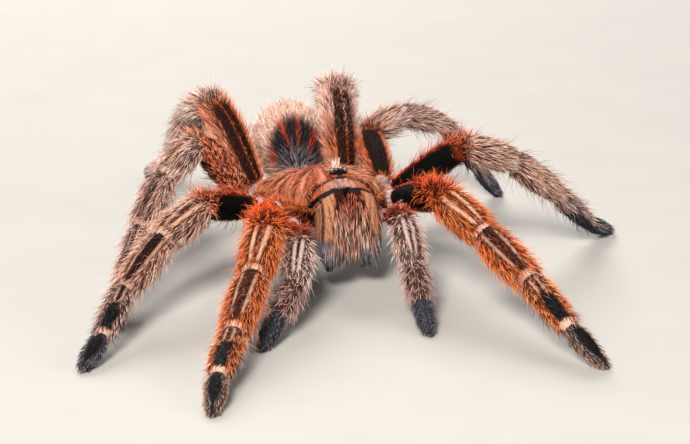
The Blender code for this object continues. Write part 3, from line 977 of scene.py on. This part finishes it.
class Surface:
    """The finished skin, painted and ready for hairs to be rooted on it."""

    def __init__(self, skin):
        mesh = skin.data
        mesh.calc_loop_triangles()
        self.points = read(mesh.vertices, "co", 3) / MM
        self.normals = read(mesh.vertices, "normal", 3)
        self.triangles = read(mesh.loop_triangles, "vertices", 3, int)
        a, b, c = self.points[self.triangles].transpose(1, 0, 2)
        self.area = np.linalg.norm(np.cross(b - a, c - a), axis=1) / 2
        self.sites = Sites(self.points)
        self.markings = paint(self.sites)

    def scatter(self, density):
        """Random roots, density per square millimetre at each vertex, with normals and fur colours."""
        weight = self.area * density[self.triangles].mean(1)
        total = np.cumsum(weight)
        picks = np.searchsorted(total, RANDOM.random(int(total[-1])) * total[-1])
        a, b = RANDOM.random((2, len(picks), 1))
        over = a + b > 1
        a, b = np.where(over, 1 - a, a), np.where(over, 1 - b, b)
        corner = self.triangles[np.minimum(picks, len(self.triangles) - 1)]
        weights = np.stack([1 - a - b, a, b], 1)
        points = (self.points[corner] * weights).sum(1)
        normals = unit((self.normals[corner] * weights).sum(1))
        roots = Sites(points, self.sites.limb[corner[:, 0]])
        return roots, normals, paint(roots).fur


def gathered(roots, tips, amount):
    """How far each tip is drawn into the lock of its neighbours, and the number of its lock."""
    cells = np.floor(roots / LOCK_SIZE + RANDOM.random(3)).astype(int)
    _, lock = np.unique(cells, axis=0, return_inverse=True)
    lock = lock.ravel()
    size = np.bincount(lock)
    centre = np.stack([np.bincount(lock, tips[:, k]) / size for k in range(3)], 1)
    return (centre[lock] - tips) * amount[:, None], lock


def hairs(sites, normals, length, lift, curl, thick, root_colour, tip_colour, stray=0.15, lock=0.45,
          bent=True, waist=0.75):
    """Tapering three-sided hairs: points, triangles, colours and places on the unwrap.

    lift is the angle off the skin at the root, curl the angle added towards the tip, and
    lock how far the tips of near hairs are drawn together.
    """
    count = len(length)
    lie = unit(sites.lie - normals * (sites.lie * normals).sum(1, keepdims=True))
    sidewise = np.cross(normals, lie)
    sway = RANDOM.normal(0, stray, count)[:, None]
    lie = unit(lie + sidewise * sway)
    lift = np.radians(lift + RANDOM.normal(0, 4, count))[:, None]
    late = lift + np.radians(curl + RANDOM.normal(0, 4, count))[:, None]
    first = lie * np.cos(lift) + normals * np.sin(lift)
    second = unit(lie * np.cos(late) + normals * np.sin(late) + sidewise * sway * 0.7)
    root = sites.points - normals * ROOT_DEPTH
    length = length[:, None]
    middle = root + first * length * 0.5
    tip = middle + second * length * 0.5
    drawn, group = gathered(root, tip, lock * RANDOM.uniform(0.4, 1.0, count))
    middle, tip = middle + drawn * 0.35, tip + drawn
    tone = np.exp(RANDOM.normal(0.25, LOCK_TONE * min(1.0, 2 * lock), group.max() + 1))
    tone = np.minimum(tone, LOCK_BRIGHTEST)[group, None]
    root_colour, tip_colour = root_colour * tone, tip_colour * tone
    turn = RANDOM.random(count) * 2 * np.pi
    angles = (turn[:, None] + np.array([0, 2, 4]) * np.pi / 3)[..., None]
    ring = np.cos(angles) * sidewise[:, None] + np.sin(angles) * np.cross(first, sidewise)[:, None]
    ring = ring * np.broadcast_to(thick, count)[:, None, None] / 2
    rows = [root[:, None] + ring, tip[:, None]]
    shades = [np.repeat(root_colour[:, None], 3, 1), tip_colour[:, None]]
    pattern = [(2, 1, 0)]
    if bent:
        between = root_colour * 0.45 + tip_colour * 0.55
        rows.insert(1, middle[:, None] + ring * waist)
        shades.insert(1, np.repeat(between[:, None], 3, 1))
        for i, j in ((0, 1), (1, 2), (2, 0)):
            pattern += [(i, j, 3 + j), (i, 3 + j, 3 + i)]
    points = np.concatenate(rows, 1)
    colours = np.concatenate(shades, 1)
    size = points.shape[1]
    top = size - 4
    pattern += [(top + i, top + (i + 1) % 3, size - 1) for i in range(3)]
    triangles = np.arange(count)[:, None, None] * size + np.array(pattern)
    spot = np.array([[0.0, 0.0], [1.0, 0.0], [0.5, 1.0]])
    share = np.concatenate([np.tile(spot, (size // 3, 1)), [[0.5, 0.5]]])
    places = atlas(sites)[:, None] + (share - 0.5) * BAKE_PATCH
    return points.reshape(-1, 3), triangles.reshape(-1, 3), colours.reshape(-1, 3), places.reshape(-1, 2)


def coat_piece(name, material, batches):
    """One mesh of many hairs."""
    starts = np.cumsum([0] + [len(some[0]) for some in batches[:-1]])
    triangles = np.concatenate([some[1] + start for some, start in zip(batches, starts)]).astype(np.int32)
    points, colours, places = (np.concatenate([some[k] for some in batches]) for k in (0, 2, 3))
    points[:, 2] = np.maximum(points[:, 2], HAIR_GAP)
    mesh = bpy.data.meshes.new(name)
    mesh.vertices.add(len(points))
    mesh.vertices.foreach_set("co", (points * MM).astype(np.float32).ravel())
    mesh.loops.add(triangles.size)
    mesh.loops.foreach_set("vertex_index", triangles.ravel())
    mesh.polygons.add(len(triangles))
    mesh.polygons.foreach_set("loop_start", np.arange(0, triangles.size, 3, dtype=np.int32))
    mesh.update(calc_edges=True)
    store_colour(mesh, colours)
    layer = mesh.uv_layers.new(name="OFBake")
    layer.uv.foreach_set("vector", places[triangles.ravel()].astype(np.float32).ravel())
    finish_piece(linked(name, mesh), material)
    print(f"{name}: {len(triangles)} triangles")


def store_colour(mesh, colours):
    layer = mesh.color_attributes.new("markings", "FLOAT_COLOR", "POINT")
    values = np.ones((len(colours), 4), np.float32)
    values[:, :3] = np.clip(colours, 0, 1)
    layer.data.foreach_set("color", values.ravel())


def varied(colour, amount):
    """Colours made lighter or darker at random."""
    return colour * np.exp(RANDOM.normal(0, amount, len(colour)))[:, None]


def mottled(colour, dark=0.25, light=0.1):
    """Tip colours of a coat with some dark and some light hairs among the rest."""
    tip = varied(colour, 0.22)
    pick = RANDOM.random(len(tip))
    tip[pick < dark] *= 0.3
    tip[pick > 1 - light] *= 1.5
    return tip


# Coat of each segment: hair length, lift, thickness and number for each square millimetre.
PILE = {
    "coxa": (1.0, 26, 0.09, 10),
    "femur": (1.6, 22, 0.09, 14),
    "patella": (2.1, 16, 0.12, 8),
    "tibia": (2.1, 16, 0.12, 8),
    "metatarsus": (1.7, 17, 0.12, 8),
    "tarsus": (0.95, 24, 0.09, 15),
}
VELVET_LENGTH = 0.45
TUFT_DENSITY = 9
TUFT_LENGTH = 2.2
# Fur darker than the first, as linear light, has no pale hairs, and fur above the second has all.
DARK_FUR = (0.05, 0.3)
# How bright the roots of the coat are beside its tips, on each limb, and how far tips are brightened.
ROOT_SHADE = {"leg_1": 0.06, "leg_2": 0.05, "leg_3": 0.2, "leg_4": 0.35, "palp": 0.05}
PILE_GAIN = 1.6


def limb_pile(surface, name):
    """The dense coat of one kind of limb."""
    sites = surface.sites
    density = np.zeros(len(sites.points))
    for _, segment, mine in sites.limb_sets((name,)):
        under = smooth(120, 160, np.abs(sites.around[mine]))
        thin = 0.55 if name == "palp" and segment != "tarsus" else 1.0
        density[mine] = PILE[segment][3] * surface.markings.cover[mine] * (1 - 0.4 * under) * thin
    roots, normals, fur = surface.scatter(density)
    length, lift, thick, blond = np.zeros((4, len(fur)))
    for _, segment, mine in roots.limb_sets():
        base, rise, thick[mine], _ = PILE[segment]
        side = np.sin(np.radians(np.minimum(np.abs(roots.around[mine]), 180))) ** 2
        velvet = np.zeros(len(mine))
        if segment == "femur":
            centre, half, _ = DARK_FACES[name]
            velvet = band(roots.around[mine], centre, half, 14)
        length[mine] = (base * (0.7 + 0.5 * side)) * (1 - velvet) + VELVET_LENGTH * velvet
        lift[mine] = rise + 12 * side + 25 * velvet
        blond[mine] = np.maximum(side, 0.3) * (1 - velvet) * {"tarsus": 0.4, "coxa": 0.1}.get(segment, 0.6)
        if name == "leg_4":
            length[mine] *= 1.3
            lift[mine] += 8
        if name == "palp" and segment in ("patella", "tibia"):
            length[mine] *= 0.6
            blond[mine] *= 0.7
    length *= np.exp(RANDOM.normal(0, 0.2, len(length)))
    blond *= smooth(*DARK_FUR, fur.max(1))
    tip = mottled(fur)
    rim = PEACH if name == "leg_1" else PINK_WHITE
    tip = tip + (rim * 0.9 - tip) * (blond * RANDOM.random(len(tip)) ** 1.5)[:, None]
    root = tip * ROOT_SHADE[name]
    return hairs(roots, normals, length, lift, -8.0, thick, root, tip * PILE_GAIN, waist=0.85)


# Long hairs that stand out from the coat: number for each square millimetre and length.
SETAE = {
    "femur": (0.6, 2.8), "patella": (1.8, 3.0), "tibia": (2.1, 3.1), "metatarsus": (1.7, 2.5),
    "tarsus": (0.3, 1.3),
}


def limb_bristles(surface, name):
    """Long sparse setae that stand out from one kind of limb."""
    sites = surface.sites
    density = np.zeros(len(sites.points))
    for _, segment, mine in sites.limb_sets((name,)):
        if segment not in SETAE:
            continue
        amount = SETAE[segment][0] * surface.markings.cover[mine]
        if name == "palp":
            amount = amount * {"tibia": 3.2, "patella": 2.0}.get(segment, 0.4)
        if segment == "femur":
            centre, half, _ = DARK_FACES[name]
            crest = band(sites.around[mine], centre - half - 14, 16, 8) * smooth(0.3, 0.6, sites.share[mine])
            amount = amount * (1 - band(sites.around[mine], centre, half, 14)) * (1 + 14 * crest)
        density[mine] = amount
    roots, normals, fur = surface.scatter(density)
    count = len(fur)
    length = np.minimum(np.exp(RANDOM.normal(0, 0.3, count)), 1.5)
    lift = RANDOM.uniform(22, 58, count)
    pale = np.full(count, 0.45)
    for _, segment, mine in roots.limb_sets():
        length[mine] *= SETAE.get(segment, (0, 2.0))[1]
        if name == "palp":
            length[mine] *= 0.75
            pale[mine] = 0.52 if segment == "tibia" else 0.8
        elif segment == "femur":
            pale[mine] = 0.1
    pale *= 0.2 + 0.8 * smooth(*DARK_FUR, fur.max(1))
    tip = varied(fur * 0.9 + PINK_WHITE * pale[:, None], 0.2)
    thick = np.where(pale > 0.5, 0.12, 0.085)
    return hairs(roots, normals, length, lift, -18.0, thick, fur * 0.25, tip, 0.3, 0.1)


# Colour of the tufts on the knees.
TUFTS = {
    "leg_1": rgb(255, 106, 46), "leg_2": rgb(246, 130, 80), "leg_3": rgb(240, 134, 88),
    "leg_4": rgb(236, 178, 156), "palp": rgb(180, 68, 42),
}


def knee_tufts(surface, name):
    """Spiky hairs round the joint of femur and patella, dark in the middle and bright outside."""
    sites = surface.sites
    first = 0.7 if name in ("leg_1", "palp") else 0.88
    density = np.zeros(len(sites.points))
    for _, segment, mine in sites.limb_sets((name,)):
        share = sites.share[mine]
        near = {"femur": smooth(first, first + 0.1, share), "patella": fade(0.04, 0.16, share)}
        density[mine] = TUFT_DENSITY * near.get(segment, 0) * fade(70, 100, np.abs(sites.around[mine]))
    roots, normals, fur = surface.scatter(density)
    count = len(fur)
    joint = np.zeros(count)
    for _, segment, mine in roots.limb_sets():
        share = roots.share[mine]
        joint[mine] = smooth(0.93, 0.99, share) if segment == "femur" else fade(0.0, 0.05, share)
    bright = blend_colour(fur, TUFTS[name], 0.75)
    tip = blend_colour(varied(bright, 0.35), BLACK * 3, joint * (RANDOM.random(count) < 0.7))
    length = TUFT_LENGTH * np.exp(RANDOM.normal(0, 0.3, count))
    if name == "palp":
        length *= 0.7
    lift = RANDOM.uniform(35, 85, count)
    return hairs(roots, normals, length, lift, -4.0, 0.13, bright * 0.08, tip * 1.2, 0.8, 0.05)


def zone_hairs(surface, zones, density_of, length, lift, curl, thick, spread=0.2, stray=0.2,
               where=None, on_bare=False, tint=None, root=0.25, dark=0.25, lock=0.45, gain=1.3,
               **shape):
    """Hairs on some body zones.

    where scales their number at each site, on_bare puts them where the coat doesn't grow, and
    tint is a colour and how far the fur's colour is drawn to it.
    """
    sites, cover = surface.sites, surface.markings.cover
    density = np.where(np.isin(sites.zone, zones), density_of * (1 - cover if on_bare else cover), 0)
    if where is not None:
        density = density * where(sites)
    roots, normals, fur = surface.scatter(density)
    if tint is not None:
        fur = blend_colour(fur, *tint)
    count = len(fur)
    length = (length(roots) if callable(length) else length) * np.exp(RANDOM.normal(0, spread, count))
    lift = lift + RANDOM.normal(0, 4, count)
    tip = mottled(fur, dark)
    return hairs(roots, normals, length, lift, curl, thick, tip * root, tip * gain, stray, lock, **shape)


# ---------------------------------------------------------------- eyes, fangs and claws


def ball(centre, radius, levels=12, sides=20):
    turn = np.linspace(0.04, 0.96, levels)[:, None] * np.pi
    angle = np.linspace(0, 2 * np.pi, sides, endpoint=False)
    height = np.broadcast_to(-np.cos(turn), (levels, sides))
    rings = np.stack([np.cos(angle) * np.sin(turn), np.sin(angle) * np.sin(turn), height], -1)
    return loft(rings * radius + centre)


def make_eyes(material):
    """Eight glossy eyes in two rows on the mound."""
    base = CARAPACE_RIM + 0.3 + carapace_height(TUBERCLE_FORWARD) + TUBERCLE_HALF[2]
    eyes = (
        (0.42, 0.36, 0.37, -0.14), (1.06, 0.46, 0.38, -0.34),
        (0.76, -0.36, 0.22, -0.16), (1.18, -0.34, 0.28, -0.42),
    )
    shapes = []
    for across, ahead, radius, drop in eyes:
        for sign in (1, -1):
            points, faces = ball((sign * across, TUBERCLE_FORWARD + ahead, base + drop), radius)
            shapes.append((from_body(points), faces))
    finish_piece(make_object("eyes", *joined(shapes)), material, ["eye_tubercle"])


def hook(root, belly, tip, radius, power=1.4, steps=24, sides=16):
    """A curved horn that tapers to a point."""
    share = np.linspace(0, 1, steps)[:, None]
    points = root * (1 - share) ** 2 + belly * (2 * share * (1 - share)) + tip * share**2
    tangents = unit((belly - root) * (1 - share) + (tip - belly) * share)
    radii = radius * (1 - 0.93 * share[:, 0] ** power)
    return loft(rings_round(points, tangents, radii, sides))


def make_fangs(material):
    for side, sign in (("left", 1), ("right", -1)):
        root, belly, tip = (
            from_body((sign * across, forward, CHELICERA_BOTTOM - drop))
            for across, forward, drop in ((3.3, 13.5, 0.3), (3.1, 12.2, 2.2), (2.4, 9.2, 1.0))
        )
        fang = make_object(f"horn_fang_{side}", *hook(root, belly, tip, FANG_RADIUS))
        finish_piece(fang, material, [f"fang_{side}"])


def make_claws(material):
    """Two small hooks at the end of each leg, and one on each palp."""
    shapes = []
    for limb in LIMBS:
        tip, heading, last = limb.points[-1], limb.tangent[-1], limb.radius[-1]
        across, top = limb.across[-1], limb.top[-1]
        for offset in (0,) if limb.name == "palp" else (-0.24, 0.24):
            root = tip + heading * last * 0.9 + across * offset + top * 0.2
            belly = root + heading * 0.75 + top * 0.25
            claw_tip = root + heading * 0.95 - top * 0.45 + across * offset
            claw_tip[2] = max(claw_tip[2], FLOOR_GAP)
            shapes.append(hook(root, belly, claw_tip, 0.12, 1.2, 10, 8))
    finish_piece(make_object("tarsal_claws", *joined(shapes)), material)


def finish_piece(thing, material, replaced=()):
    thing.data.materials.append(material)
    thing.data.shade_smooth()
    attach(thing, "root")
    if replaced:
        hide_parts(*replaced)


# ---------------------------------------------------------------- materials


def new_material(name, roughness, specular=0.5, coat=0.0):
    material = bpy.data.materials.new(name)
    material.use_nodes = True
    shader = material.node_tree.nodes["Principled BSDF"]
    shader.inputs["Roughness"].default_value = roughness
    shader.inputs["Specular IOR Level"].default_value = specular
    shader.inputs["Coat Weight"].default_value = coat
    return material, material.node_tree.nodes, material.node_tree.links, shader


def noise(nodes, links, scale, detail=3.0):
    """A noise in the object's own coordinates, scale in cells for each metre."""
    where = nodes.new("ShaderNodeTexCoord")
    texture = nodes.new("ShaderNodeTexNoise")
    texture.inputs["Scale"].default_value = scale
    texture.inputs["Detail"].default_value = detail
    links.new(where.outputs["Object"], texture.inputs["Vector"])
    return texture.outputs["Fac"]


def shade_by(nodes, links, colour, factor, low, high):
    """The colour times a range that the factor runs through."""
    spread = nodes.new("ShaderNodeMapRange")
    spread.inputs["To Min"].default_value = low
    spread.inputs["To Max"].default_value = high
    links.new(factor, spread.inputs["Value"])
    scale = nodes.new("ShaderNodeVectorMath")
    scale.operation = "SCALE"
    links.new(colour, scale.inputs[0])
    links.new(spread.outputs[0], scale.inputs["Scale"])
    return scale.outputs[0]


def marked_material(name, roughness, specular, scale, low, high, bump=0.0):
    """A surface that shows the markings, broken up by noise."""
    material, nodes, links, shader = new_material(name, roughness, specular)
    colour = nodes.new("ShaderNodeAttribute")
    colour.attribute_name = "markings"
    grain = noise(nodes, links, scale)
    links.new(shade_by(nodes, links, colour.outputs["Color"], grain, low, high), shader.inputs["Base Color"])
    if bump:
        relief = nodes.new("ShaderNodeBump")
        relief.inputs["Strength"].default_value = bump
        relief.inputs["Distance"].default_value = 0.15 * MM
        links.new(noise(nodes, links, scale * 2), relief.inputs["Height"])
        links.new(relief.outputs["Normal"], shader.inputs["Normal"])
    return material


def horn_material(name, dark, light, roughness, coat, scale):
    """Glossy horn or eye with a faint mottle."""
    material, nodes, links, shader = new_material(name, roughness, 0.5, coat)
    shader.inputs["Coat Roughness"].default_value = 0.06
    ramp = nodes.new("ShaderNodeValToRGB")
    ramp.color_ramp.elements[0].color = (*dark, 1)
    ramp.color_ramp.elements[1].color = (*light, 1)
    links.new(noise(nodes, links, scale), ramp.inputs["Fac"])
    links.new(ramp.outputs["Color"], shader.inputs["Base Color"])
    return material


# ---------------------------------------------------------------- studio


def make_floor():
    half = 0.6
    corners = [(-half, -half, 0), (half, -half, 0), (half, half, 0), (-half, half, 0)]
    floor = make_object("floor", np.array(corners) / MM, [(0, 1, 2, 3)])
    material, nodes, links, shader = new_material("pale_floor", 0.8, 0.2)
    base = nodes.new("ShaderNodeRGB")
    base.outputs[0].default_value = (0.45, 0.43, 0.40, 1)
    shade = shade_by(nodes, links, base.outputs[0], noise(nodes, links, 60), 0.95, 1.05)
    links.new(shade, shader.inputs["Base Color"])
    floor.data.materials.append(material)


def make_light(name, place, size, power, colour):
    """A round area lamp that looks at the spider."""
    light = bpy.data.lights.new(name, "AREA")
    light.shape = "DISK"
    light.size = size
    light.energy = power
    light.color = colour
    aim(linked(name, light), np.array(place), np.array([0.0, 0.0, 0.01]))


def aim(thing, place, target):
    """Places a camera or lamp and turns it to look at its target."""
    thing.location = Vector(place)
    thing.rotation_euler = Vector(target - place).to_track_quat("-Z", "Y").to_euler()


CAMERA_YAW = 19.5
CAMERA_ELEVATION = 18.0
CAMERA_DISTANCE = 0.4
CAMERA_LENS = 120
CAMERA_TARGET = np.array([0.01089, 0.01906, 0.0]) + SHIFT * MM


def make_camera():
    data = bpy.data.cameras.new("camera")
    data.lens = CAMERA_LENS
    data.sensor_width = 36
    data.clip_start = 0.01
    camera = linked("camera", data)
    away = direction(-CAMERA_YAW, CAMERA_ELEVATION)
    aim(camera, CAMERA_TARGET + away * CAMERA_DISTANCE, CAMERA_TARGET)
    bpy.context.scene.camera = camera


def make_studio():
    make_floor()
    make_light("key", (-0.28, -0.42, 0.42), 0.2, 6.5, (1.0, 0.97, 0.93))
    make_light("fill", (0.45, -0.35, 0.22), 0.4, 1.3, (0.95, 0.97, 1.0))
    make_light("back", (0.05, 0.5, 0.4), 0.35, 4.6, (1.0, 0.98, 0.96))
    world = bpy.data.worlds.new("studio")
    world.use_nodes = True
    backdrop = world.node_tree.nodes["Background"].inputs
    backdrop["Color"].default_value = (0.9, 0.92, 0.95, 1)
    backdrop["Strength"].default_value = 0.22
    bpy.context.scene.world = world
    bpy.context.scene.view_settings.view_transform = "Standard"


# ---------------------------------------------------------------- the tarantula

# Coat pieces of the limbs, by their names in the visual model.
COAT_GROUPS = {"front": "leg_1", "mid": "leg_2", "rear": "leg_3", "hind": "leg_4", "palps": "palp"}


def carapace_fringe(sites):
    return fade(1.0, 1.9, sites.body[:, 2])


def ridges(sites):
    """The rays of the carapace between its furrows."""
    x, forward, _ = sites.body.T
    return 1 - np.clip(groove_depth(x, forward) / 0.2, 0, 1)


def behind_eyes(sites):
    x, forward, _ = sites.body.T
    return band(np.hypot(x, (forward - TUBERCLE_FORWARD + 1.25) * 1.6), 0, 0.45, 0.3)


def lip_middle(sites):
    return band(sites.body[:, 0], 0, 0.9, 0.8) * smooth(4.3, 4.6, sites.body[:, 2])


def jaw_front(sites):
    """The front faces of the jaws."""
    return smooth(11.8, 12.8, sites.body[:, 1]) * fade(4.4, 4.9, np.abs(sites.body[:, 0]))


def jaw_foot(sites):
    """The grey lower corners of the jaws."""
    x, _, up = sites.body.T
    return fade(-5.4, -3.4, up) * smooth(0.5, 1.7, np.abs(x))


def bare_front(sites):
    """The bare bands of the jaws, but not the painted shadow of the lip along their top."""
    x, _, up = sites.body.T
    return jaw_front(sites) * (1 - painted_lip_shadow(np.abs(x), up))


def jaw_length(sites):
    """Hairs of the jaws: short at the top and at the bottom, long between."""
    up = sites.body[:, 2]
    return 1.5 + 1.7 * fade(1.0, 3.6, up) * smooth(-8.5, -3.5, up)


# The numbers after the zones are density, length, lift, curl and thickness, then spread and stray.


def carapace_coat(surface):
    grow = partial(zone_hairs, surface)
    crest = [CARAPACE, TUBERCLE]
    pale = (PINK_WHITE, 0.8)
    ray = (rgb(240, 168, 128), 0.6)
    return [
        grow([CARAPACE], 30, 1.2, 12, -5, 0.09, root=0.3, dark=0.3, gain=1.6, lock=0.2, bent=False),
        grow([CARAPACE], 16, 1.8, 28, 0, 0.08, where=carapace_fringe),
        grow([CARAPACE], 5, 1.6, 17, -5, 0.1, where=ridges, tint=ray, dark=0),
        grow(crest, 120, 2.3, 70, -10, 0.09, where=behind_eyes, tint=pale, dark=0),
        grow([LIP], 34, 0.8, 26, -8, 0.07, lock=0.2, bent=False),
        grow([LIP], 26, 1.1, 24, -8, 0.08, where=lip_middle, tint=(PINK_WHITE, 0.75), dark=0.05),
        grow([UNDERSIDE], 8, 1.2, 30, -10, 0.09, bent=False),
    ]


def jaw_coat(surface):
    """Dark under-fur, grey corners, stubble on the bare bands, and long locks in front."""
    grow = partial(zone_hairs, surface, [JAW])
    grey = (rgb(136, 136, 150), 0.9)
    stubble = (BLACK * 3, 0.95)
    return [
        grow(14, 1.0, 16, -5, 0.08, tint=(RUST * 0.3, 0.75), bent=False),
        grow(22, 1.1, 14, -5, 0.09, where=jaw_foot, tint=grey, root=0.5, dark=0.1, lock=0.1, bent=False),
        grow(8, 0.4, 40, 0, 0.17, on_bare=True, where=bare_front, tint=stubble, root=1.0, dark=0, lock=0,
             bent=False),
        grow(7, jaw_length, 10, -5, 0.11, 0.2, 0.05, where=jaw_front, root=0.03, lock=0.3, gain=1.7,
             waist=0.95),
    ]


def abdomen_coat(surface):
    return [
        zone_hairs(surface, [ABDOMEN, SPINNERET], 10, 1.5, 24, -8, 0.10, root=0.45, dark=0.1),
        zone_hairs(surface, [ABDOMEN], 8, 2.4, 25, -10, 0.09, 0.3, root=0.45, dark=0.04),
    ]


def make_tarantula():
    skin = make_skin()
    surface = Surface(skin)
    store_colour(skin.data, surface.markings.skin)
    flesh = [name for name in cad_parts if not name.startswith(("fang", "eye"))]
    finish_piece(skin, marked_material("skin", 0.75, 0.1, 3000, 0.75, 1.25, 0.35), flesh)
    print("skin faces", len(skin.data.polygons), "triangles", len(skin.data.loop_triangles))
    fur = marked_material("fur", 0.6, 0.16, 1500, 0.8, 1.2)
    down = marked_material("down", 0.6, 0.16, 1200, 0.85, 1.15)
    for group, name in COAT_GROUPS.items():
        coat_piece(f"coat_{group}", fur, [limb_pile(surface, name)])
        bristles = [limb_bristles(surface, name), knee_tufts(surface, name)]
        coat_piece(f"setae_{group}", fur, bristles)
    coat_piece("coat_carapace", down, carapace_coat(surface))
    coat_piece("coat_jaws", fur, jaw_coat(surface))
    coat_piece("coat_abdomen", down, abdomen_coat(surface))
    gloss = horn_material("eye_glass", (0.002, 0.002, 0.002), (0.012, 0.010, 0.010), 0.08, 1.0, 900)
    horn = horn_material("dark_horn", (0.004, 0.002, 0.002), (0.03, 0.015, 0.01), 0.22, 0.5, 700)
    make_eyes(gloss)
    make_fangs(horn)
    make_claws(horn)


make_tarantula()
make_studio()
make_camera()
